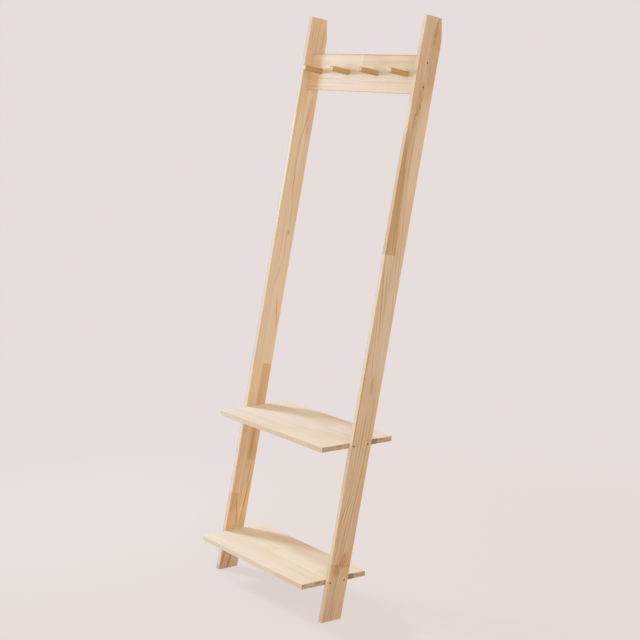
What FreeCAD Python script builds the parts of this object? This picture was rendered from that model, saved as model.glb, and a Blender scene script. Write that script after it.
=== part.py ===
"""Leaning coat rack in solid pine: two side rails, a board with pegs and two shelves.

Millimetres. +X is to the right as seen from the front, +Y goes back to the wall and
+Z is up. The origin is on the floor, in the middle of the whole rack's box.
"""
import FreeCAD, Part
import math
import os

from FreeCAD import Vector

# Whole rack
overall_width = 600.0
lean_angle = 11.8

# Side rails
rail_length = 1778.0
rail_width = 68.0
rail_thickness = 16.0
wall_face_height = 62.0

# Peg board, measured along and behind the rails' front edges
board_height = 112.0
board_thickness = 16.0
board_top_drop = 112.0
board_setback = 24.0

# Pegs
peg_count = 4
peg_size = 15.0
peg_length = 63.0
peg_end_margin = 62.0

# Shelves
shelf_thickness = 16.0
upper_shelf_height = 520.0
upper_shelf_depth = 248.0
upper_shelf_overhang = 95.0
lower_shelf_height = 124.0
lower_shelf_depth = 225.0
lower_shelf_overhang = 83.0

# Screws with a round flat head and a hexagon socket, sunk in counterbores
screw_diameter = 4.0
screw_head_diameter = 6.0
screw_head_height = 3.0
screw_head_sink = 1.2
socket_width = 3.0
socket_depth = 2.0
rail_screw_length = 40.0
peg_screw_length = 32.0

# Places of the screws
shelf_screw_front_inset = 8.4
shelf_screw_back_inset = 12.4
board_screw_inset = 21.0

# Eased edges and clearances
rail_edge_ease = 1.0
shelf_edge_ease = 0.8
peg_edge_ease = 0.7
screw_clearance = 0.1

# Worked out from the sizes above
lean = math.radians(lean_angle)
inner_half = overall_width / 2 - rail_thickness
board_foot = rail_length - board_top_drop - board_height
board_middle = board_foot + board_height / 2
LEFT = -1
RIGHT = 1


def rail_front(height):
    """How far the rails' front edges lean back at a height, from the foot's front edge."""
    return height * math.tan(lean)


wall_reach = rail_length * math.sin(lean) + (rail_width - wall_face_height * math.sin(lean)) * math.cos(lean)
front_reach = min(
    rail_front(upper_shelf_height) - upper_shelf_overhang,
    rail_front(lower_shelf_height) - lower_shelf_overhang,
)
foot_front = -(front_reach + wall_reach) / 2


def lean_back(shape):
    """Lean a shape that was drawn upright, with the rails' front edges on the XZ plane."""
    leaned = shape.copy()
    turn = FreeCAD.Rotation(Vector(1, 0, 0), -lean_angle)
    leaned.Placement = FreeCAD.Placement(Vector(0, foot_front, 0), turn)
    return leaned


# Screws

def screw_form(length, grow, rise):
    """Turned form of a screw that points down -Z, with its head's top at z = 0.

    grow widens and lengthens it and rise lifts the head's top, which makes the cutter for
    the screw's own seat. The head's underside stays, so that it bears on the seat.
    """
    head_radius = screw_head_diameter / 2 + grow
    shank_radius = screw_diameter / 2 + grow
    outline = [
        Vector(0, 0, rise),
        Vector(head_radius, 0, rise),
        Vector(head_radius, 0, -screw_head_height),
        Vector(shank_radius, 0, -screw_head_height),
        Vector(shank_radius, 0, -length - grow),
        Vector(0, 0, -length - grow),
    ]
    face = Part.Face(Part.makePolygon(outline + outline[:1]))
    return face.revolve(Vector(0, 0, 0), Vector(0, 0, 1), 360)


def hexagon_socket():
    """Prism that cuts the hexagon socket into a screw's head."""
    corner_radius = socket_width / math.sqrt(3)
    corners = [
        Vector(corner_radius * math.cos(math.pi * i / 3), corner_radius * math.sin(math.pi * i / 3), -socket_depth)
        for i in range(7)
    ]
    return Part.Face(Part.makePolygon(corners)).extrude(Vector(0, 0, socket_depth))


def screw(length):
    return screw_form(length, 0, 0).cut(hexagon_socket())


def screw_seat(length):
    return screw_form(length, screw_clearance, 2 * screw_head_sink)


def aim(shape, place, direction):
    """Set a screw or its seat with the middle of its head at place, pointing in direction."""
    aimed = shape.copy()
    aimed.Placement = FreeCAD.Placement(place, FreeCAD.Rotation(Vector(0, 0, -1), direction))
    return aimed


def rail_screw_place(side, y, z):
    """Middle of a head sunk in the outer face of a rail."""
    return Vector(side * (overall_width / 2 - screw_head_sink), y, z)


def shelf_screw_places(side, shelf_height):
    middle_height = shelf_height - shelf_thickness / 2
    front_edge = foot_front + rail_front(middle_height)
    back_edge = front_edge + rail_width / math.cos(lean)
    return [
        rail_screw_place(side, front_edge + shelf_screw_front_inset, middle_height),
        rail_screw_place(side, back_edge - shelf_screw_back_inset, middle_height),
    ]


def board_screw_places(side):
    across = board_setback + board_thickness / 2
    places = []
    for along in (board_foot + board_screw_inset, board_foot + board_height - board_screw_inset):
        y = foot_front + along * math.sin(lean) + across * math.cos(lean)
        z = along * math.cos(lean) - across * math.sin(lean)
        places.append(rail_screw_place(side, y, z))
    return places


def rail_joints(side):
    """Screw places of one rail, under the name of the piece that they hold."""
    return {
        "upper_shelf": shelf_screw_places(side, upper_shelf_height),
        "lower_shelf": shelf_screw_places(side, lower_shelf_height),
        "peg_board": board_screw_places(side),
    }


def rail_screws(side, piece, form):
    inward = Vector(-side, 0, 0)
    return [aim(form, place, inward) for place in rail_joints(side)[piece]]


def end_screws(piece, form):
    return rail_screws(LEFT, piece, form) + rail_screws(RIGHT, piece, form)


def peg_positions():
    first = -inner_half + peg_end_margin
    pitch = -2 * first / (peg_count - 1)
    return [first + i * pitch for i in range(peg_count)]


def peg_screws(form):
    """Screws drawn upright, from the back of the board into the pegs."""
    head_depth = board_setback + board_thickness - screw_head_sink
    to_front = Vector(0, -1, 0)
    return [aim(form, Vector(x, head_depth, board_middle), to_front) for x in peg_positions()]


# Wooden pieces

def ease(shape, size):
    return shape.makeChamfer(size, shape.Edges)


def rail(side):
    """Board on edge, cut level at the foot, square at the top and upright where it meets the wall."""
    inner_face = side * inner_half
    wall_cut_across = wall_face_height * math.sin(lean)
    wall_cut_along = wall_face_height * math.cos(lean)
    outline = [
        Vector(inner_face, 0, 0),
        Vector(inner_face, rail_width, rail_width * math.tan(lean)),
        Vector(inner_face, rail_width, rail_length - wall_cut_along),
        Vector(inner_face, rail_width - wall_cut_across, rail_length),
        Vector(inner_face, 0, rail_length),
    ]
    face = Part.Face(Part.makePolygon(outline + outline[:1]))
    blank = ease(face.extrude(Vector(side * rail_thickness, 0, 0)), rail_edge_ease)
    seats = []
    for piece in rail_joints(side):
        seats += rail_screws(side, piece, screw_seat(rail_screw_length))
    return lean_back(blank).cut(seats)


def shelf(piece, height, depth, overhang):
    """Plain board held between the rails by screws in its ends."""
    corner = Vector(-inner_half, foot_front + rail_front(height) - overhang, height - shelf_thickness)
    blank = Part.makeBox(2 * inner_half, depth, shelf_thickness, corner)
    return ease(blank, shelf_edge_ease).cut(end_screws(piece, screw_seat(rail_screw_length)))


def peg_board():
    """Board between the rails that leans with them."""
    corner = Vector(-inner_half, board_setback, board_foot)
    blank = ease(Part.makeBox(2 * inner_half, board_thickness, board_height, corner), shelf_edge_ease)
    drilled = blank.cut(peg_screws(screw_seat(peg_screw_length)))
    return lean_back(drilled).cut(end_screws("peg_board", screw_seat(rail_screw_length)))


def peg(x):
    """Square peg that stands square to the board, with every edge eased but those on the board."""
    corner = Vector(x - peg_size / 2, board_setback - peg_length, board_middle - peg_size / 2)
    blank = Part.makeBox(peg_size, peg_length, peg_size, corner)
    free_edges = [edge for edge in blank.Edges if edge.BoundBox.YMin < board_setback - peg_edge_ease]
    eased = blank.makeChamfer(peg_edge_ease, free_edges)
    return lean_back(eased.cut(peg_screws(screw_seat(peg_screw_length))))


# Nodes

nodes = {
    "left_rail": rail(LEFT),
    "right_rail": rail(RIGHT),
    "peg_board": peg_board(),
    "upper_shelf": shelf("upper_shelf", upper_shelf_height, upper_shelf_depth, upper_shelf_overhang),
    "lower_shelf": shelf("lower_shelf", lower_shelf_height, lower_shelf_depth, lower_shelf_overhang),
}
for number, x in enumerate(peg_positions(), start=1):
    nodes[f"peg_{number}"] = peg(x)
for piece in ("upper_shelf", "lower_shelf", "peg_board"):
    nodes[f"{piece}_screws"] = Part.makeCompound(end_screws(piece, screw(rail_screw_length)))
nodes["peg_screws"] = lean_back(Part.makeCompound(peg_screws(screw(peg_screw_length))))

os.makedirs("parts", exist_ok=True)
for name, shape in nodes.items():
    shape.exportStep(f"parts/{name}.step")
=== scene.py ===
"""Leaning coat rack in finger-jointed pine, in a plain studio at the photograph's angle. Metres.

Every piece keeps its CAD mesh. This script gives each one its wood or steel, and builds the studio.
"""
import bpy
import math
import random

from dataclasses import dataclass
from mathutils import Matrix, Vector


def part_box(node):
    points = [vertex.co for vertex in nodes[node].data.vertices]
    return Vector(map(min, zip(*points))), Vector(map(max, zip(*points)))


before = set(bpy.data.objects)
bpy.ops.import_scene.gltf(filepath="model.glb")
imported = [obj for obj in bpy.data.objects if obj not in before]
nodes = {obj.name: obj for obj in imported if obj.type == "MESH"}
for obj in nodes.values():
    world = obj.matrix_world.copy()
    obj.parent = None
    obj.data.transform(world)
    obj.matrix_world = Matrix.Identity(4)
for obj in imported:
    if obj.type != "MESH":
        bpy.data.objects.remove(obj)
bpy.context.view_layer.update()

# Camera
IMAGE_SIZE = 640
FOCAL_PIXELS = 1619.7
SENSOR_WIDTH = 36.0
CAMERA_PLACE = (4.0096, -2.6917, 1.6768)
CAMERA_DIP = math.radians(9.909)
CAMERA_TURN = math.radians(55.942)

# Rack: sizes, and the peg board's place along the rails
LEAN = math.radians(11.8)
RAIL_LENGTH = 1.778
RAIL_WIDTH = 0.068
RAIL_SEAM = RAIL_WIDTH / 2
BOARD_HEIGHT = 0.112
PEG_SIZE = 0.015
foot_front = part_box("left_rail")[0].y
board_low, board_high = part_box("peg_board")
board_centre = (board_low + board_high) / 2
board_middle = (board_centre.y - foot_front) * math.sin(LEAN) + board_centre.z * math.cos(LEAN)
board_foot = board_middle - BOARD_HEIGHT / 2
board_top = board_middle + BOARD_HEIGHT / 2

# Axes of the rack that run along, across and through the grain, where 0 is X, 1 is Y and 2 is Z
RAIL_AXES = (2, 1, 0)
BOARD_AXES = (0, 2, 1)
SHELF_AXES = (0, 1, 2)
PEG_AXES = (1, 2, 0)

# Colours of the wood, from dark heartwood at 0 to pale sapwood at 1, and the drift of its hue
WOOD_COLOURS = ((0.0, (0.51, 0.29, 0.12)), (0.5, (0.73, 0.52, 0.345)), (1.0, (0.885, 0.805, 0.685)))
PINKISH = (1.0, 0.985, 1.05)
YELLOWISH = (1.0, 1.01, 0.94)
HUE_STOPS = ((0.35, PINKISH), (0.65, YELLOWISH))
SAWN_LINE_COLOUR = (0.24, 0.15, 0.08)
WORN_COLOUR = (0.88, 0.77, 0.62)
NO_TINT = (1.0, 1.0, 1.0)
END_GRAIN_TINT = (0.64, 0.57, 0.50)

# Noises in the wood, as features per metre along, across and through the grain
BROAD = (4.0, 30.0, 30.0)
BANDS = (1.6, 170.0, 170.0)
FIBRE = (14.0, 900.0, 900.0)
PORES = (60.0, 2600.0, 2600.0)
FIGURE = (2.2, 26.0, 26.0)
MOTTLE = (45.0, 330.0, 330.0)
SPOTS = (55.0, 230.0, 230.0)
HUE_DRIFT = (1.3, 14.0, 14.0)
SAWN_LINES = (1.0, 40.0, 420.0)
RING_WAVE = (3.5, 22.0, 22.0)
FINE_DETAIL = 3.0
BAND_ROUGHNESS = 0.6
PORE_DETAIL = 1.0

# How far each thing lightens or darkens the wood
BROAD_SHADE = 0.22
BAND_SHADE = 0.44
FIBRE_SHADE = 0.28
GLUE_SHADE = 0.12
# Painted shade on the left rail's outer face, against the strong key light there
PAINTED_FACE_SHADE = 0.34

# Lightness that makes up for the rings, as a share of their depth
RING_MAKE_UP = 0.10

# Share of a streak that shows where the mottle is 0, and what a mottle of 1 adds to it
MOTTLE_LEAST = 0.2
MOTTLE_RANGE = 1.6

# Finger joints and glue lines
FINGER_PITCH = 0.0065
FINGER_DEPTH = 0.010
GLUE_LINE = 0.0004

# Growth rings: the seasons' noise is per metre from the pith, per tone and per seed
RING_SPACING = 0.0058
RING_PROFILE = ((0.0, 0.0), (0.55, 0.15), (0.88, 1.0), (1.0, 0.0))
RING_TAPER = 0.05
RING_WAVE_SIZE = 0.010
SEASONS = (60.0, 5.0, 1.0)
SEASON_SHIFT = 0.014
FAINTEST_RING = 0.1
FAINTEST_BLOCK = 0.4
FAINTEST_FIGURE = 0.1
EDGE_FACE_CALM = 0.7

# Where soft borders start and end in a noise
FIGURE_RANGE = (0.40, 0.62)
MARK_RANGE = (0.46, 0.60)
WEAR_RANGE = (0.35, 0.65)

# Where soft rims start and end, as shares of an oval
STREAK_RIM = (1.0, 0.45)
PATCH_RIM = (1.0, 0.6)

# Where the wedge of heartwood fades: across its border in metres, and along it as shares of its reach
HEARTWOOD_RIM = (0.003, -0.003)
HEARTWOOD_END = (0.90, 0.65)

# Which way a face looks, as cosines to the grain's axes
SQUARE_ON = (0.75, 0.9)
EASED_EDGE = (0.93, 0.85)

# Half width of a patch that takes in the whole width of any piece
WHOLE_WIDTH = 1.0

# Satin finish, end grain and wear
WOOD_ROUGHNESS = 0.66
WOOD_SPECULAR = 0.35
RING_GLOSS = 0.06
FIBRE_DULLNESS = 0.12
END_DULLNESS = 0.15
SAWN_LINE_STRENGTH = 0.55
WEAR_STRENGTH = 0.35
RING_RELIEF = 0.35
PORE_RELIEF = 0.5
RELIEF_STRENGTH = 0.35
RELIEF_DEPTH = 0.0004

# Steel
STEEL_COLOURS = ((0.3, (0.22, 0.12, 0.055)), (0.62, (0.32, 0.19, 0.095)), (0.8, (0.46, 0.30, 0.17)))
GRIME_COLOUR = (0.30, 0.17, 0.085)
GRIME = (160.0, 160.0, 160.0)
GRIME_STRENGTH = 0.5
SCUFFS = (700.0, 700.0, 700.0)
SCUFF_DETAIL = 4.0
SCUFF_DULLNESS = 0.35
SCUFF_RELIEF = 0.3
SCUFF_DEPTH = 0.0002
STEEL_ROUGHNESS = 0.32
STEEL_METALLIC = 0.35

# Studio
BACKDROP = (0.791, 0.723, 0.716, 1.0)
FILL_COLOUR = (1.0, 0.84, 0.61, 1.0)
FILL_STRENGTH = 0.68
FLOOR_PAPER = (0.84, 0.77, 0.75, 1.0)
FLOOR_RADIUS = 2.4
FLOOR_CORNERS = 96
FLOOR_FADE = (0.5, FLOOR_RADIUS * 0.9)
FLOOR_VEIL = 0.78
LIGHT_TARGET = (0, 0, 0.9)
KEY_LIGHT = {"place": (-2.5, -0.66, 1.60), "size": 0.5, "power": 64.0, "colour": (0.58, 0.81, 1.0)}
SIDE_LIGHT = {"place": (3.2, -1.2, 2.0), "size": 2.0, "power": 28.0, "colour": (0.96, 0.94, 1.0)}


# Node helpers

def connect(tree, socket, value):
    """Set an input to a value, or link another node's output to it."""
    if isinstance(value, bpy.types.NodeSocket):
        tree.links.new(value, socket)
    else:
        socket.default_value = value


def add(tree, kind, inputs=None, **settings):
    """One shader node with its settings, and with a value or a link on each named input."""
    made = tree.nodes.new(kind)
    for name, value in settings.items():
        setattr(made, name, value)
    for name, value in (inputs or {}).items():
        connect(tree, made.inputs[name], value)
    return made


def maths(tree, operation, *values, clamp=False):
    made = add(tree, "ShaderNodeMath", dict(enumerate(values)), operation=operation, use_clamp=clamp)
    return made.outputs[0]


def at_least(tree, value, least):
    """A value from 0 to 1, squeezed so that it runs from least to 1."""
    return maths(tree, "MULTIPLY_ADD", value, 1 - least, least)


def spread_round(tree, chance, spread, middle=0.0):
    """A chance from 0 to 1, turned into a value within half the spread of a middle."""
    return maths(tree, "MULTIPLY_ADD", chance, spread, middle - spread / 2)


def fade(tree, value, low, high):
    """Smooth step from 0 at low to 1 at high."""
    inputs = {"Value": value, "From Min": low, "From Max": high}
    return add(tree, "ShaderNodeMapRange", inputs, interpolation_type="SMOOTHSTEP").outputs["Result"]


def split(tree, vector):
    return add(tree, "ShaderNodeSeparateXYZ", {0: vector}).outputs


def join(tree, *values):
    return add(tree, "ShaderNodeCombineXYZ", dict(enumerate(values))).outputs[0]


def vector_length(tree, vector):
    return add(tree, "ShaderNodeVectorMath", {0: vector}, operation="LENGTH").outputs["Value"]


def mix(tree, kind, factor, first, second, blend="MIX"):
    """Mix of two values or colours; kind is FLOAT or RGBA."""
    made = add(tree, "ShaderNodeMix", data_type=kind, blend_type=blend)
    sockets = [socket for socket in made.inputs if socket.enabled]
    for socket, value in zip(sockets, (factor, first, second)):
        connect(tree, socket, value)
    return next(socket for socket in made.outputs if socket.enabled)


def tinted(tree, colour, tint):
    return mix(tree, "RGBA", 1.0, colour, (*tint, 1), "MULTIPLY")


def ramp(tree, factor, stops, interpolation="LINEAR"):
    """Colour ramp through (position, value or colour) stops."""
    made = add(tree, "ShaderNodeValToRGB", {"Fac": factor})
    made.color_ramp.interpolation = interpolation
    elements = made.color_ramp.elements
    elements.remove(elements[1])
    for index, (position, colour) in enumerate(stops):
        element = elements[0] if index == 0 else elements.new(position)
        element.position = position
        rgb = colour if isinstance(colour, tuple) else (colour,) * 3
        element.color = (*rgb, 1.0)
    return made.outputs["Color"]


def noise(tree, place, stretch, detail=2.0, roughness=0.5):
    """Noise from 0 to 1, with stretch features per metre along each axis."""
    scaled = add(tree, "ShaderNodeVectorMath", {0: place, 1: stretch}, operation="MULTIPLY").outputs[0]
    inputs = {"Vector": scaled, "Scale": 1.0, "Detail": detail, "Roughness": roughness}
    return add(tree, "ShaderNodeTexNoise", inputs).outputs["Fac"]


def empty_tree(owner):
    """Emptied node tree of a material or world."""
    owner.use_nodes = True
    owner.node_tree.nodes.clear()
    return owner.node_tree


def new_material(name):
    """Node material with only its shader."""
    material = bpy.data.materials.new(name)
    tree = empty_tree(material)
    shader = add(tree, "ShaderNodeBsdfPrincipled")
    add(tree, "ShaderNodeOutputMaterial", {"Surface": shader.outputs["BSDF"]})
    return material, tree, shader


def add_relief(tree, shader, height, strength, depth):
    bump = add(tree, "ShaderNodeBump", {"Height": height, "Strength": strength, "Distance": depth})
    connect(tree, shader.inputs["Normal"], bump.outputs["Normal"])


# Pine

@dataclass
class Wood:
    """What sets the pine of one piece apart, in its grain space.

    Lamellas are strips glued edge to edge, as (edge across the grain, blocks), and each finger-jointed
    block is (where it starts along the grain, tone). A pith is the middle and the spread of the blocks'
    own piths. bend is how far the rings swing across the grain, where along it they swing furthest, and
    the length of a full swing. Streaks and speckles are (along, across, half length, half width, slope,
    strength) ovals, and a strength below 0 makes the wood lighter. Patches are such ovals with a tint
    for the strength, and may leave out the slope. heartwood is where a dark wedge starts, its reach,
    width and strength. painted_dark_face is where, through the board, a face painted darker starts and
    where it is at its full strength: painted shade that offsets strong light falling on that face.
    """
    axes: tuple
    leans: bool
    start: float
    length: float
    lamellas: tuple
    seed: float
    pith_across: tuple
    pith_through: tuple
    ring_depth: float
    ring_spacing: float = RING_SPACING
    bend: tuple = ()
    streaks: tuple = ()
    speckles: tuple = ()
    patches: tuple = ()
    heartwood: tuple = ()
    painted_dark_face: tuple = ()
    tint: tuple = NO_TINT
    end_tint: tuple = END_GRAIN_TINT
    edge_tint: tuple = NO_TINT
    edge_lift: float = 0.0
    roughness: float = WOOD_ROUGHNESS


def grain_space(tree, wood):
    """Place and face normal of a point in grain space: X along the grain, Y across, Z through the board."""
    place = add(tree, "ShaderNodeTexCoord").outputs["Object"]
    normal = add(tree, "ShaderNodeNewGeometry").outputs["True Normal"]
    if wood.leans:
        upright = {"Vector": place, "Location": (0, foot_front, 0), "Rotation": (-LEAN, 0, 0)}
        place = add(tree, "ShaderNodeMapping", upright, vector_type="TEXTURE").outputs[0]
        turned = {"Vector": normal, "Rotation": (LEAN, 0, 0)}
        normal = add(tree, "ShaderNodeMapping", turned, vector_type="VECTOR").outputs[0]
    spaces = []
    for vector in (place, normal):
        parts = split(tree, vector)
        spaces.append(join(tree, *(parts[axis] for axis in wood.axes)))
    return spaces


def face_kinds(tree, normal):
    """Whether a point is on an edge face, on end grain or on an eased edge, each from 0 to 1."""
    steep = add(tree, "ShaderNodeVectorMath", {0: normal}, operation="ABSOLUTE").outputs[0]
    end, side, face = split(tree, steep)
    squarest = maths(tree, "MAXIMUM", end, maths(tree, "MAXIMUM", side, face))
    return fade(tree, side, *SQUARE_ON), fade(tree, end, *SQUARE_ON), fade(tree, squarest, *EASED_EDGE)


def blocks_along(tree, along, wood, blocks):
    """Tone of the finger-jointed block at a place along a lamella, and the glue lines between blocks."""
    share = maths(tree, "DIVIDE", maths(tree, "SUBTRACT", along, wood.start), wood.length)
    tones = [((place - wood.start) / wood.length, tone) for place, tone in blocks]
    half_line = GLUE_LINE / 2 / wood.length
    lines = [(0.0, 0.0)]
    for position, _ in tones[1:]:
        lines += [(position - half_line, 1.0), (position + half_line, 0.0)]
    return ramp(tree, share, tones, "CONSTANT"), ramp(tree, share, lines, "CONSTANT")


def lamella_layout(tree, place, wood):
    """Tone, lamella number and glue lines of a board glued from lamellas."""
    along, across, through = split(tree, place)
    zigzag = maths(tree, "PINGPONG", through, FINGER_PITCH / 2)
    shifted = maths(tree, "MULTIPLY_ADD", zigzag, 2 * FINGER_DEPTH / FINGER_PITCH, along)
    tone, line = blocks_along(tree, shifted, wood, wood.lamellas[0][1])
    number = 0.0
    for edge, blocks in wood.lamellas[1:]:
        next_tone, next_line = blocks_along(tree, shifted, wood, blocks)
        beyond = maths(tree, "GREATER_THAN", across, edge)
        seam = maths(tree, "COMPARE", across, edge, GLUE_LINE / 2)
        tone = mix(tree, "FLOAT", beyond, tone, next_tone)
        line = maths(tree, "MAXIMUM", mix(tree, "FLOAT", beyond, line, next_line), seam)
        number = maths(tree, "ADD", number, beyond)
    return tone, number, line


def from_pith(tree, position, chance, pith):
    """Distance along one axis from a pith, which lies by chance within half the spread of the middle."""
    middle, spread = pith
    return maths(tree, "SUBTRACT", position, spread_round(tree, chance, spread, middle))


def bent(tree, along, across, swing, furthest, full_length):
    """Distance across the grain, with a swing that comes and goes along it."""
    phase = maths(tree, "MULTIPLY", maths(tree, "SUBTRACT", along, furthest), 2 * math.pi / full_length)
    return maths(tree, "MULTIPLY_ADD", maths(tree, "COSINE", phase), -swing, across)


def growth_rings(tree, place, tone, number, wood):
    """Latewood lines from 0 to 1, and a chance from 0 to 1 that each block has to itself.

    Each block's rings run round a pith of its own, so that its faces and end grain agree.
    """
    block_key = join(tree, tone, number, wood.seed)
    chances = add(tree, "ShaderNodeTexWhiteNoise", {"Vector": block_key}).outputs["Color"]
    across_chance, through_chance, taper_chance = split(tree, chances)
    along, across, through = split(tree, place)
    across_offset = from_pith(tree, across, across_chance, wood.pith_across)
    through_offset = from_pith(tree, through, through_chance, wood.pith_through)
    if wood.bend:
        across_offset = bent(tree, along, across_offset, *wood.bend)
    distance = vector_length(tree, join(tree, across_offset, through_offset))
    taper = spread_round(tree, taper_chance, RING_TAPER)
    wave = spread_round(tree, noise(tree, place, RING_WAVE), RING_WAVE_SIZE)
    waved = maths(tree, "ADD", maths(tree, "MULTIPLY_ADD", along, taper, distance), wave)
    season = noise(tree, join(tree, waved, tone, wood.seed), SEASONS)
    uneven = maths(tree, "MULTIPLY_ADD", season, SEASON_SHIFT, waved)
    count = maths(tree, "DIVIDE", uneven, wood.ring_spacing)
    ring_key = join(tree, maths(tree, "FLOOR", count), tone, wood.seed)
    ring_chance = add(tree, "ShaderNodeTexWhiteNoise", {"Vector": ring_key}).outputs["Value"]
    latewood = ramp(tree, maths(tree, "FRACT", count), RING_PROFILE)
    return maths(tree, "MULTIPLY", latewood, at_least(tree, ring_chance, FAINTEST_RING)), through_chance


def ring_shade(tree, place, rings, block_chance, edge_face, ring_depth):
    """How much the rings darken the wood: least in plain wood, in faint blocks and on edge faces."""
    figure = at_least(tree, fade(tree, noise(tree, place, FIGURE), *FIGURE_RANGE), FAINTEST_FIGURE)
    figure = maths(tree, "MULTIPLY", figure, maths(tree, "MULTIPLY_ADD", edge_face, -EDGE_FACE_CALM, 1.0))
    depth = maths(tree, "MULTIPLY_ADD", block_chance, ring_depth, ring_depth * FAINTEST_BLOCK)
    return maths(tree, "MULTIPLY", rings, maths(tree, "MULTIPLY", depth, figure))


def varied(tree, shade, chance, amount):
    """Shade made lighter or darker by up to half the amount."""
    return maths(tree, "MULTIPLY_ADD", chance, amount, maths(tree, "SUBTRACT", shade, amount / 2))


def oval_distance(tree, place, along, across, half_length, half_width, slope=0.0):
    """Distance from the middle of an oval on the board, 1 at its rim; slope tilts it from the grain."""
    place_along, place_across, _ = split(tree, place)
    run = maths(tree, "SUBTRACT", place_along, along)
    drift = maths(tree, "MULTIPLY_ADD", run, -slope, maths(tree, "SUBTRACT", place_across, across))
    shares = (maths(tree, "DIVIDE", run, half_length), maths(tree, "DIVIDE", drift, half_width))
    return vector_length(tree, join(tree, *shares))


def streak_shade(tree, place, streaks, broken):
    """Sum of soft dark streaks, times the noise that breaks them up."""
    total = 0.0
    for *oval, strength in streaks:
        inside = fade(tree, oval_distance(tree, place, *oval), *STREAK_RIM)
        total = maths(tree, "MULTIPLY_ADD", inside, strength, total)
    return maths(tree, "MULTIPLY", total, broken)


def heartwood_shade(tree, place, start, reach, width, strength):
    """Dark wedge on the low edge of a board, from a joint at start until it runs out after reach."""
    along, across, _ = split(tree, place)
    share = maths(tree, "DIVIDE", maths(tree, "SUBTRACT", along, start), reach, clamp=True)
    border = maths(tree, "MULTIPLY_ADD", share, -width, width)
    inside = fade(tree, maths(tree, "SUBTRACT", across, border), *HEARTWOOD_RIM)
    beyond_joint = maths(tree, "GREATER_THAN", along, start)
    running_out = fade(tree, share, *HEARTWOOD_END)
    wedge = maths(tree, "MULTIPLY", maths(tree, "MULTIPLY", inside, beyond_joint), running_out)
    return maths(tree, "MULTIPLY", wedge, strength)


def marked(tree, place, shade, wood):
    """Shade with the piece's own streaks, speckles and heartwood, and painted shade on one face."""
    if wood.streaks:
        mottle = noise(tree, place, MOTTLE, FINE_DETAIL)
        broken = maths(tree, "MULTIPLY_ADD", mottle, MOTTLE_RANGE, MOTTLE_LEAST)
        shade = maths(tree, "SUBTRACT", shade, streak_shade(tree, place, wood.streaks, broken))
    if wood.speckles:
        spots = fade(tree, noise(tree, place, SPOTS, FINE_DETAIL), *MARK_RANGE)
        shade = maths(tree, "SUBTRACT", shade, streak_shade(tree, place, wood.speckles, spots))
    if wood.heartwood:
        shade = maths(tree, "SUBTRACT", shade, heartwood_shade(tree, place, *wood.heartwood))
    # Painted shade: a face made darker through the board, where strong light falls on it
    if wood.painted_dark_face:
        dark_face_share = fade(tree, split(tree, place)[2], *wood.painted_dark_face)
        shade = maths(tree, "MULTIPLY_ADD", dark_face_share, -PAINTED_FACE_SHADE, shade)
    return shade


def wood_colour(tree, place, shade, wood):
    """Colour for a shade, with a drifting hue, the piece's tint and its softly tinted patches."""
    hues = [(position, tuple(a * b for a, b in zip(hue, wood.tint))) for position, hue in HUE_STOPS]
    drift = ramp(tree, noise(tree, place, HUE_DRIFT), hues)
    colour = mix(tree, "RGBA", 1.0, ramp(tree, shade, WOOD_COLOURS), drift, "MULTIPLY")
    for *oval, tint in wood.patches:
        inside = fade(tree, oval_distance(tree, place, *oval), *PATCH_RIM)
        colour = mix(tree, "RGBA", inside, colour, tinted(tree, colour, tint))
    return colour


def sawn(tree, place, colour, tint):
    """Colour of end grain, tinted and with fine dark lines."""
    lines = fade(tree, noise(tree, place, SAWN_LINES, FINE_DETAIL), *MARK_RANGE)
    strength = maths(tree, "MULTIPLY", lines, SAWN_LINE_STRENGTH)
    return mix(tree, "RGBA", strength, tinted(tree, colour, tint), (*SAWN_LINE_COLOUR, 1))


def worn(tree, colour, eased_edge, broad):
    """Colour with its eased edges rubbed pale in places."""
    wear = maths(tree, "MULTIPLY", eased_edge, fade(tree, broad, *WEAR_RANGE))
    return mix(tree, "RGBA", maths(tree, "MULTIPLY", wear, WEAR_STRENGTH), colour, (*WORN_COLOUR, 1))


def satin_finish(tree, shader, place, rings, fibre, line, end_grain, roughness):
    """Gloss and relief that follow the rings, the fibres, the pores and the glue lines."""
    gloss = maths(tree, "MULTIPLY_ADD", rings, -RING_GLOSS, roughness)
    gloss = maths(tree, "MULTIPLY_ADD", fibre, FIBRE_DULLNESS, gloss)
    gloss = maths(tree, "MULTIPLY_ADD", end_grain, END_DULLNESS, gloss)
    connect(tree, shader.inputs["Roughness"], gloss)
    shader.inputs["Specular IOR Level"].default_value = WOOD_SPECULAR
    pores = noise(tree, place, PORES, PORE_DETAIL)
    relief = maths(tree, "MULTIPLY_ADD", pores, PORE_RELIEF, fibre)
    relief = maths(tree, "MULTIPLY_ADD", rings, -RING_RELIEF, relief)
    relief = maths(tree, "SUBTRACT", relief, line)
    add_relief(tree, shader, relief, RELIEF_STRENGTH, RELIEF_DEPTH)


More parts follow.
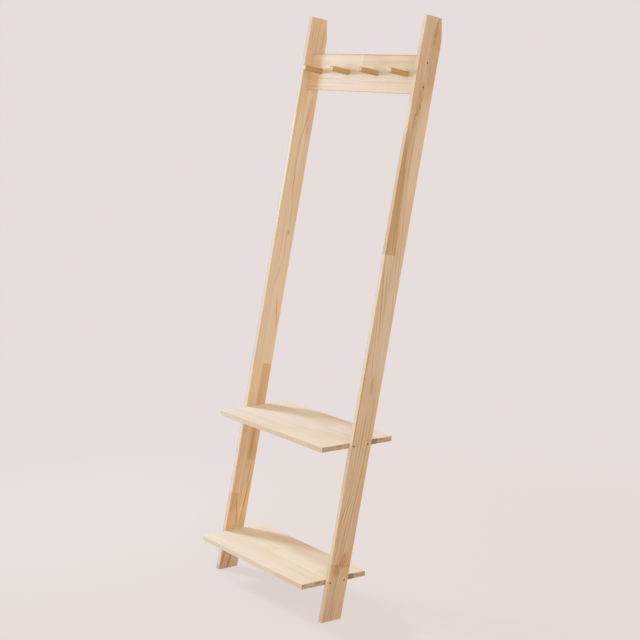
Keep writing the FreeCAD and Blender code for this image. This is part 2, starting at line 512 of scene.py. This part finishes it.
def pine(name, wood):
    """Satin pine whose grain, rings, blocks and glue lines run through the whole piece."""
    material, tree, shader = new_material(name)
    place, normal = grain_space(tree, wood)
    edge_face, end_grain, eased_edge = face_kinds(tree, normal)
    tone, number, line = lamella_layout(tree, place, wood)
    rings, block_chance = growth_rings(tree, place, tone, number, wood)
    broad = noise(tree, place, BROAD)
    bands = noise(tree, place, BANDS, FINE_DETAIL, BAND_ROUGHNESS)
    fibre = noise(tree, place, FIBRE, FINE_DETAIL)

    darkening = ring_shade(tree, place, rings, block_chance, edge_face, wood.ring_depth)
    shade = maths(tree, "SUBTRACT", tone, darkening)
    shade = maths(tree, "ADD", shade, wood.ring_depth * RING_MAKE_UP)
    for chance, amount in ((broad, BROAD_SHADE), (bands, BAND_SHADE), (fibre, FIBRE_SHADE)):
        shade = varied(tree, shade, chance, amount)
    shade = maths(tree, "SUBTRACT", shade, maths(tree, "MULTIPLY", line, GLUE_SHADE))
    shade = marked(tree, place, shade, wood)
    shade = maths(tree, "MULTIPLY_ADD", edge_face, wood.edge_lift, shade)

    colour = wood_colour(tree, place, shade, wood)
    colour = mix(tree, "RGBA", edge_face, colour, tinted(tree, colour, wood.edge_tint))
    colour = mix(tree, "RGBA", end_grain, colour, sawn(tree, place, colour, wood.end_tint))
    colour = worn(tree, colour, eased_edge, broad)
    connect(tree, shader.inputs["Base Color"], colour)
    satin_finish(tree, shader, place, rings, fibre, line, end_grain, wood.roughness)
    return material


def dress(name, material):
    nodes[name].material_slots[0].material = material


def dress_in_pine(name, wood):
    dress(name, pine(f"{name}_pine", wood))


# Left rail: pale, with slanted streaks at the foot. Its shaded inner face has warm tints painted for warm
# bounce light, and its outer face is painted darker, as painted shade against the strong key light there
LEFT_RAIL_LAMELLAS = (
    (0.0, ((0.0, 0.64), (0.115, 0.53), (0.252, 0.68), (1.106, 0.70))),
    (RAIL_SEAM, ((0.0, 0.82), (0.145, 0.58), (0.365, 0.39), (0.680, 0.69))),
)
LEFT_RAIL_STREAKS = (
    # Foot
    (0.020, 0.0050, 0.060, 0.0060, 0.16, 0.34),
    (0.020, 0.0200, 0.060, 0.0034, 0.16, 0.20),
    (0.020, 0.0310, 0.065, 0.0050, 0.16, 0.44),
    (0.045, 0.0200, 0.065, 0.0400, 0.00, 0.05),
    # Between the shelves
    (0.185, 0.0425, 0.050, 0.0026, 0.00, -0.26),
    (0.200, 0.0280, 0.050, 0.0030, -0.16, 0.36),
    (0.225, 0.0120, 0.055, 0.0140, -0.08, 0.09),
    (0.230, 0.0530, 0.110, 0.0030, 0.087, 0.34),
    (0.270, 0.0360, 0.035, 0.0020, 0.00, 0.18),
    (0.285, 0.0420, 0.080, 0.0040, 0.00, -0.12),
    (0.320, 0.0530, 0.050, 0.0030, 0.08, 0.24),
    (0.370, 0.0140, 0.240, 0.0340, 0.00, 0.11),
    (0.420, 0.0450, 0.070, 0.0050, 0.03, 0.24),
    (0.445, 0.0620, 0.055, 0.0140, 0.00, -0.12),
    (0.450, 0.0200, 0.060, 0.0600, 0.00, -0.07),
    # Above the upper shelf
    (0.740, 0.0024, 0.140, 0.0022, 0.00, 0.20),
    (0.840, 0.0530, 0.075, 0.0034, -0.15, 0.36),
    (0.965, 0.0340, 0.055, 0.0032, 0.16, 0.24),
    (1.060, 0.0420, 0.060, 0.0028, -0.09, 0.24),
    (1.098, 0.0470, 0.012, 0.0060, 0.00, 0.32),
    (1.160, 0.0440, 0.070, 0.0028, -0.06, 0.22),
    (1.250, 0.0580, 0.220, 0.0120, 0.00, 0.09),
    (1.260, 0.0340, 0.090, 0.0030, -0.06, 0.34),
    (1.350, 0.0320, 0.060, 0.0030, 0.03, 0.30),
    (1.360, 0.0045, 0.240, 0.0035, 0.00, 0.14),
    # From below the peg board to the top
    (1.430, 0.0380, 0.080, 0.0030, 0.16, 0.34),
    (1.470, 0.0540, 0.090, 0.0200, 0.00, 0.24),
    (1.525, 0.0120, 0.050, 0.0160, 0.00, 0.07),
    (1.650, 0.0250, 0.060, 0.0140, 0.00, -0.12),
    (1.710, 0.0540, 0.050, 0.0160, 0.00, 0.10),
    (1.720, 0.0340, 0.130, 0.0800, 0.00, 0.09),
    (1.735, 0.0120, 0.050, 0.0040, 0.03, 0.16),
    # Front edge
    (0.030, 0.0000, 0.060, 0.0015, 0.00, -0.12),
    (0.380, 0.0000, 0.400, 0.0015, 0.00, -0.22),
    (1.400, 0.0000, 0.300, 0.0030, 0.00, -0.10),
)
LEFT_RAIL_PATCHES = (
    (0.020, RAIL_SEAM, 0.10, WHOLE_WIDTH, (1.06, 1.03, 1.00)),
    (0.145, 0.044, 0.05, 0.030, (0.96, 0.96, 0.90)),
    # Warm tints painted in this and the next two patches: painted warm bounce light on the shaded inner
    # face
    (0.180, RAIL_SEAM, 0.12, WHOLE_WIDTH, (1.05, 0.985, 0.88)),
    (0.420, RAIL_SEAM, 0.10, WHOLE_WIDTH, (1.04, 1.00, 0.95)),
    (0.600, RAIL_SEAM, 0.12, WHOLE_WIDTH, (1.01, 0.985, 0.93)),
)
LEFT_RAIL = Wood(
    axes=RAIL_AXES, leans=True, start=0.0, length=RAIL_LENGTH, lamellas=LEFT_RAIL_LAMELLAS,
    seed=3.1, pith_across=(-0.08, 0.06), pith_through=(-0.32, 0.03), ring_depth=0.35, ring_spacing=0.0090,
    # The outer face is painted darker: painted shade against the strong key light there
    streaks=LEFT_RAIL_STREAKS, patches=LEFT_RAIL_PATCHES, painted_dark_face=(-0.295, -0.299),
    edge_tint=(1.0, 1.0, 1.05), edge_lift=0.04,
)

# Right rail: darker, with bent rings, a dark joint above the lower shelf and a wedge of heartwood
RIGHT_RAIL_LAMELLAS = (
    (0.0, ((0.0, 0.34), (0.172, 0.42), (1.086, 0.39))),
    (RAIL_SEAM, ((0.0, 0.42), (0.172, 0.43))),
)
RIGHT_RAIL_STREAKS = (
    # Foot, and the joint above the lower shelf
    (0.0350, 0.0080, 0.050, 0.0060, 0.05, 0.08),
    (0.0500, 0.0280, 0.060, 0.0040, 0.02, 0.06),
    (0.1580, 0.0220, 0.024, 0.0140, 0.00, 0.24),
    (0.1725, 0.0340, 0.003, 0.0600, 0.00, 0.26),
    (0.1880, 0.0420, 0.034, 0.0110, 0.10, 0.34),
    # Between the shelves
    (0.2350, 0.0270, 0.080, 0.0026, 0.03, 0.16),
    (0.2450, 0.0100, 0.080, 0.0026, 0.03, 0.18),
    (0.3000, 0.0050, 0.120, 0.0040, 0.00, 0.12),
    (0.3250, 0.0120, 0.060, 0.0028, 0.22, 0.26),
    (0.3300, 0.0340, 0.400, 0.1500, 0.00, 0.03),
    (0.3350, 0.0180, 0.060, 0.0026, 0.20, -0.20),
    (0.3450, 0.0250, 0.060, 0.0028, 0.18, 0.24),
    (0.3550, 0.0310, 0.055, 0.0026, 0.16, -0.16),
    (0.3650, 0.0370, 0.055, 0.0028, 0.14, 0.16),
    # Above the upper shelf
    (0.6400, 0.0024, 0.270, 0.0024, 0.00, 0.38),
    (0.6900, 0.0340, 0.060, 0.0900, 0.00, 0.05),
    (0.7050, 0.0340, 0.034, 0.0050, -0.05, 0.26),
    (0.8600, 0.0270, 0.060, 0.0030, -0.10, 0.12),
    (0.8800, 0.0550, 0.280, 0.0280, 0.00, -0.08),
    (0.9800, 0.0120, 0.120, 0.0036, -0.11, 0.30),
    # Beside the heartwood
    (1.3400, 0.0130, 0.080, 0.0034, -0.10, 0.20),
    (1.3600, 0.0310, 0.100, 0.0040, 0.00, 0.16),
    (1.3800, 0.0530, 0.200, 0.0280, 0.00, -0.09),
    (1.4200, 0.0160, 0.110, 0.0030, 0.10, 0.12),
    # From below the peg board to the top
    (1.5000, 0.0220, 0.130, 0.0240, 0.00, 0.06),
    (1.5250, 0.0270, 0.060, 0.0060, 0.09, 0.12),
    (1.6400, 0.0340, 0.180, 0.0900, 0.00, 0.05),
    (1.6600, 0.0520, 0.150, 0.0260, 0.00, 0.20),
    (1.7380, 0.0430, 0.044, 0.0070, 0.09, 0.20),
    # Front edge
    (0.9200, 0.0000, 0.160, 0.0050, 0.00, -0.03),
    (1.4800, 0.0000, 0.060, 0.0050, 0.00, -0.18),
    (1.6400, 0.0000, 0.060, 0.0050, 0.00, 0.10),
    (1.7450, 0.0000, 0.060, 0.0050, 0.00, -0.10),
)
RIGHT_RAIL_SPECKLES = (
    (1.525, 0.0270, 0.085, 0.0110, 0.09, 0.60),
    (1.735, 0.0440, 0.050, 0.0100, 0.07, 0.34),
)
RIGHT_RAIL_PATCHES = (
    (0.172, RAIL_SEAM, 0.04, WHOLE_WIDTH, (0.975, 0.93, 0.84)),
    (0.310, 0.060, 0.20, 0.022, (0.97, 0.94, 0.965)),
    (0.420, 0.020, 0.13, 0.034, (1.02, 1.055, 1.05)),
    (0.880, RAIL_SEAM, 0.26, WHOLE_WIDTH, (0.99, 1.02, 1.09)),
    (1.700, RAIL_SEAM, 0.12, WHOLE_WIDTH, (1.00, 1.02, 1.08)),
)
RIGHT_RAIL = Wood(
    axes=RAIL_AXES, leans=True, start=0.0, length=RAIL_LENGTH, lamellas=RIGHT_RAIL_LAMELLAS,
    seed=7.7, pith_across=(-0.10, 0.05), pith_through=(0.28, 0.03), ring_depth=0.48, ring_spacing=0.0100,
    bend=(0.026, 0.60, 1.6), streaks=RIGHT_RAIL_STREAKS, speckles=RIGHT_RAIL_SPECKLES,
    patches=RIGHT_RAIL_PATCHES, heartwood=(1.086, 0.50, 0.036, 0.27), tint=(0.955, 1.03, 1.11),
    edge_tint=(1.08, 0.965, 0.86), edge_lift=0.41,
)

# Peg board: two lamellas, each with a joint near the middle, a dark line along the top edge, and
# painted warm shade at the left end, where the left rail's shadow falls
BOARD_LAMELLAS = (
    (board_foot, ((board_low.x, 0.86), (-0.008, 0.84))),
    (board_middle + 0.023, ((board_low.x, 0.86), (-0.002, 0.68))),
)
BOARD_STREAKS = (
    # Painted shade at the left end, where the left rail's shadow falls
    (-0.275, board_middle - 0.007, 0.060, 0.0900, 0.00, 0.16),
    (-0.200, board_middle - 0.047, 0.120, 0.0030, 0.00, 0.16),
    (-0.190, board_middle - 0.021, 0.100, 0.0030, 0.01, 0.20),
    (-0.150, board_middle - 0.033, 0.160, 0.0040, 0.00, 0.16),
    (0.000, board_top, 0.900, 0.0052, 0.00, 0.46),
    (0.100, board_middle + 0.033, 0.180, 0.0040, 0.01, 0.12),
    (0.130, board_middle - 0.027, 0.180, 0.0060, 0.01, 0.14),
    (0.150, board_middle - 0.045, 0.170, 0.0040, 0.00, 0.12),
)
BOARD_PATCHES = (
    # Warm tint painted at the left end, in the left rail's shadow: painted warm bounce light
    (board_low.x, board_middle, 0.075, WHOLE_WIDTH, (1.09, 1.07, 1.04)),
    (board_low.x + 0.030, board_foot + 0.026, 0.090, 0.034, (1.0, 0.98, 0.87)),
    (-0.140, board_middle, 0.180, WHOLE_WIDTH, (1.0, 0.97, 0.99)),
    (0.000, board_foot + 0.028, 0.400, 0.024, (1.0, 0.995, 0.95)),
    (0.200, board_top - 0.008, 0.140, 0.010, (1.05, 1.05, 1.06)),
)
PEG_BOARD = Wood(
    axes=BOARD_AXES, leans=True, start=board_low.x, length=board_high.x - board_low.x,
    lamellas=BOARD_LAMELLAS, seed=1.9, pith_across=(board_middle - 0.107, 0.05), pith_through=(-0.06, 0.08),
    ring_depth=0.15, streaks=BOARD_STREAKS, patches=BOARD_PATCHES, tint=(1.0, 0.97, 0.965), roughness=0.56,
)

# Shelves: narrow lamellas of pale sapwood
SHELF_LAMELLA_WIDTH = 0.046
SHELF_BLOCK_LENGTHS = (0.16, 0.42)
SHELF_TONES = (0.82, 0.98)
SHELF_TINT = (1.0, 0.985, 1.02)
SHELF_RING_DEPTH = 0.16
SHELF_SEED_SCALE = 0.37
SHELF_PITH_DROP = 0.04
SHELF_PITH_SPREAD_ACROSS = 0.20
SHELF_PITH_SPREAD_THROUGH = 0.05
SHELF_WHOLE_LENGTH = 0.60
SHELF_EDGE_DEPTH = 0.003
# Painted shadow of the right rail on the shelf's right end, just behind the rail
RAIL_SHADOW_OFFSET = 0.014
RAIL_SHADOW_HALF_WIDTH = 0.022
RAIL_SHADOW_TINT = (0.58, 0.57, 0.54)
RIGHT_HALF_INSET = 0.05
RIGHT_HALF_REACH = 0.22
RIGHT_HALF_TINT = (1.035, 1.04, 1.045)
DULL_EDGE_TINT = (0.95, 0.87, 0.84)


def random_lamellas(seed, low, high):
    """Lamellas of one width between two corners of a shelf, with blocks of random lengths and tones."""
    chance = random.Random(seed)
    lamellas = []
    count = max(1, round((high.y - low.y) / SHELF_LAMELLA_WIDTH))
    for index in range(count):
        place = low.x
        blocks = []
        while place < high.x:
            blocks.append((place, chance.uniform(*SHELF_TONES)))
            place += chance.uniform(*SHELF_BLOCK_LENGTHS)
        lamellas.append((low.y + index * (high.y - low.y) / count, blocks))
    return tuple(lamellas)


def shelf_wood(name, seed, edge_shade, edge_tint, dull_reach, shadow_tint):
    """Pale wood of a shelf, with a shade and tint of its own on the front edge.

    That edge is duller for dull_reach from the right end. The right half is a little paler, and the right
    end has a painted shadow of the rail just behind it. The last argument is a tint painted where the left
    rail's shadow falls on the shelf top.
    """
    low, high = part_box(name)
    rail_back = foot_front + high.z * math.tan(LEAN) + RAIL_WIDTH / math.cos(LEAN)
    front_edge = (0.0, low.y, SHELF_WHOLE_LENGTH, SHELF_EDGE_DEPTH)
    dull_edge = (high.x, low.y, dull_reach, SHELF_EDGE_DEPTH)
    # Painted shadow of the right rail on the right end
    rail_shadow = (high.x, rail_back + RAIL_SHADOW_OFFSET, SHELF_EDGE_DEPTH, RAIL_SHADOW_HALF_WIDTH)
    right_half = (high.x - RIGHT_HALF_INSET, low.y, RIGHT_HALF_REACH, WHOLE_WIDTH)
    patches = (
        (*front_edge, edge_tint),
        (*rail_shadow, RAIL_SHADOW_TINT),
        shadow_tint,
        (*right_half, RIGHT_HALF_TINT),
        (*dull_edge, DULL_EDGE_TINT),
    )
    return Wood(
        axes=SHELF_AXES, leans=False, start=low.x, length=high.x - low.x,
        lamellas=random_lamellas(seed, low, high), seed=seed * SHELF_SEED_SCALE,
        pith_across=((low.y + high.y) / 2, SHELF_PITH_SPREAD_ACROSS),
        pith_through=(low.z - SHELF_PITH_DROP, SHELF_PITH_SPREAD_THROUGH),
        ring_depth=SHELF_RING_DEPTH, streaks=((*front_edge, 0.0, edge_shade),), patches=patches,
        tint=SHELF_TINT,
    )


# Each shelf's last tint is painted where the left rail's shadow falls: on the upper shelf a paler, cooler
# tint, painted light in the shadow; on the lower a darker, browner tint across the back half, painted shade
# in the shadow and the wood's own hue beyond it
UPPER_SHELF = shelf_wood(
    "upper_shelf", seed=11, edge_shade=0.14, edge_tint=(1.0, 1.08, 1.10), dull_reach=0.30,
    shadow_tint=(-0.113, 0.020, 0.09, 0.035, 0.40, (1.01, 1.06, 1.09)),
)
LOWER_SHELF = shelf_wood(
    "lower_shelf", seed=29, edge_shade=-0.20, edge_tint=(0.96, 0.96, 0.96), dull_reach=0.19,
    shadow_tint=(0.0, -0.055, 0.24, 0.045, 0.06, (0.97, 0.92, 0.87)),
)

# Pegs: one block each, as (tone, tint), with darker top and bottom edges, the bottom one painted shade,
# and tips painted pale as a highlight where the key light falls on them
PEG_BLOCKS = (
    (0.20, (0.96, 0.99, 0.94)),
    (0.20, (0.97, 0.98, 0.94)),
    (0.15, (0.95, 0.99, 0.90)),
    (0.16, (0.96, 0.99, 0.80)),
)
# The bottom band is painted shade along the peg's underside
PEG_STREAKS = (
    (0.0, board_middle + PEG_SIZE / 2, 0.10, 0.0034, 0.00, 0.24),
    (0.0, board_middle - PEG_SIZE / 2, 0.10, 0.0044, 0.00, 0.24),
)
# Painted highlight: the tips are tinted far paler than the sides, where the key light falls on them
PEG_LIT_END_TINT = (1.72, 2.10, 3.00)
PEG_GRAIN_START = -1.0
PEG_GRAIN_LENGTH = 2.0
PEG_SEED_STEP = 1.3
PEG_PITH_DROP = 0.037


def peg_wood(number, tone, tint):
    low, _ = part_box(f"peg_{number}")
    return Wood(
        axes=PEG_AXES, leans=True, start=PEG_GRAIN_START, length=PEG_GRAIN_LENGTH,
        lamellas=((board_foot, ((PEG_GRAIN_START, tone),)),), seed=number * PEG_SEED_STEP,
        pith_across=(board_middle - PEG_PITH_DROP, 0.02), pith_through=(low.x, 0.05),
        ring_depth=0.50, ring_spacing=0.0048, streaks=PEG_STREAKS, tint=tint, end_tint=PEG_LIT_END_TINT,
    )


# Screws

def dark_steel():
    """Blackened screw steel with scuffs and a trace of rust brown."""
    material, tree, shader = new_material("dark_steel")
    place = add(tree, "ShaderNodeTexCoord").outputs["Object"]
    scuffs = noise(tree, place, SCUFFS, SCUFF_DETAIL)
    grime = maths(tree, "MULTIPLY", noise(tree, place, GRIME), GRIME_STRENGTH)
    colour = mix(tree, "RGBA", grime, ramp(tree, scuffs, STEEL_COLOURS), (*GRIME_COLOUR, 1))
    connect(tree, shader.inputs["Base Color"], colour)
    shader.inputs["Metallic"].default_value = STEEL_METALLIC
    gloss = maths(tree, "MULTIPLY_ADD", scuffs, SCUFF_DULLNESS, STEEL_ROUGHNESS)
    connect(tree, shader.inputs["Roughness"], gloss)
    add_relief(tree, shader, scuffs, SCUFF_RELIEF, SCUFF_DEPTH)
    return material


# Studio

def background_rays(tree):
    """1 for rays that show the backdrop itself: camera, glossy and transmission rays."""
    rays = add(tree, "ShaderNodeLightPath").outputs
    shown = maths(tree, "MAXIMUM", rays["Is Camera Ray"], rays["Is Glossy Ray"])
    return maths(tree, "MAXIMUM", shown, rays["Is Transmission Ray"])


def mix_shaders(tree, factor, first, second):
    inputs = {0: factor, 1: first.outputs[0], 2: second.outputs[0]}
    return add(tree, "ShaderNodeMixShader", inputs).outputs[0]


def world_light():
    """Warm fill from all round, seen as the plain backdrop."""
    world = bpy.data.worlds.new("studio")
    bpy.context.scene.world = world
    tree = empty_tree(world)
    light = add(tree, "ShaderNodeBackground", {"Color": FILL_COLOUR, "Strength": FILL_STRENGTH})
    backdrop = add(tree, "ShaderNodeBackground", {"Color": BACKDROP, "Strength": 1.0})
    surface = mix_shaders(tree, background_rays(tree), light, backdrop)
    add(tree, "ShaderNodeOutputWorld", {"Surface": surface})


def floor_paper():
    """Pale paper, veiled by the backdrop's colour, and by more of it towards the floor's rim."""
    material = bpy.data.materials.new("floor_paper")
    tree = empty_tree(material)
    place = add(tree, "ShaderNodeTexCoord").outputs["Object"]
    rim = fade(tree, vector_length(tree, place), *FLOOR_FADE)
    veil = maths(tree, "MULTIPLY", at_least(tree, rim, FLOOR_VEIL), background_rays(tree))
    paper = add(tree, "ShaderNodeBsdfDiffuse", {"Color": FLOOR_PAPER})
    plain = add(tree, "ShaderNodeEmission", {"Color": BACKDROP, "Strength": 1.0})
    add(tree, "ShaderNodeOutputMaterial", {"Surface": mix_shaders(tree, veil, paper, plain)})
    return material


def floor():
    """Disc that takes the rack's shadow and turns into the backdrop towards its rim."""
    bpy.ops.mesh.primitive_circle_add(vertices=FLOOR_CORNERS, radius=FLOOR_RADIUS, fill_type="NGON")
    disc = bpy.context.object
    disc.name = "floor"
    disc.data.materials.append(floor_paper())


def soft_light(name, place, size, power, colour):
    """Round lamp that faces the middle of the rack."""
    data = bpy.data.lights.new(name, "AREA")
    data.shape = "DISK"
    data.size = size
    data.energy = power
    data.color = colour
    lamp = bpy.data.objects.new(name, data)
    lamp.location = place
    lamp.rotation_euler = (Vector(LIGHT_TARGET) - Vector(place)).to_track_quat("-Z", "Y").to_euler()
    bpy.context.scene.collection.objects.link(lamp)


def camera():
    data = bpy.data.cameras.new("camera")
    data.sensor_width = SENSOR_WIDTH
    data.lens = SENSOR_WIDTH * FOCAL_PIXELS / IMAGE_SIZE
    eye = bpy.data.objects.new("camera", data)
    eye.location = CAMERA_PLACE
    eye.rotation_euler = (math.radians(90) - CAMERA_DIP, 0, CAMERA_TURN)
    bpy.context.scene.collection.objects.link(eye)
    bpy.context.scene.camera = eye


dress_in_pine("left_rail", LEFT_RAIL)
dress_in_pine("right_rail", RIGHT_RAIL)
dress_in_pine("peg_board", PEG_BOARD)
dress_in_pine("upper_shelf", UPPER_SHELF)
dress_in_pine("lower_shelf", LOWER_SHELF)
for number, (tone, tint) in enumerate(PEG_BLOCKS, start=1):
    dress_in_pine(f"peg_{number}", peg_wood(number, tone, tint))
steel = dark_steel()
for name in nodes:
    if name.endswith("_screws"):
        dress(name, steel)

world_light()
floor()
soft_light("key_light", **KEY_LIGHT)
soft_light("side_light", **SIDE_LIGHT)
camera()
bpy.context.scene.view_settings.view_transform = "Standard"
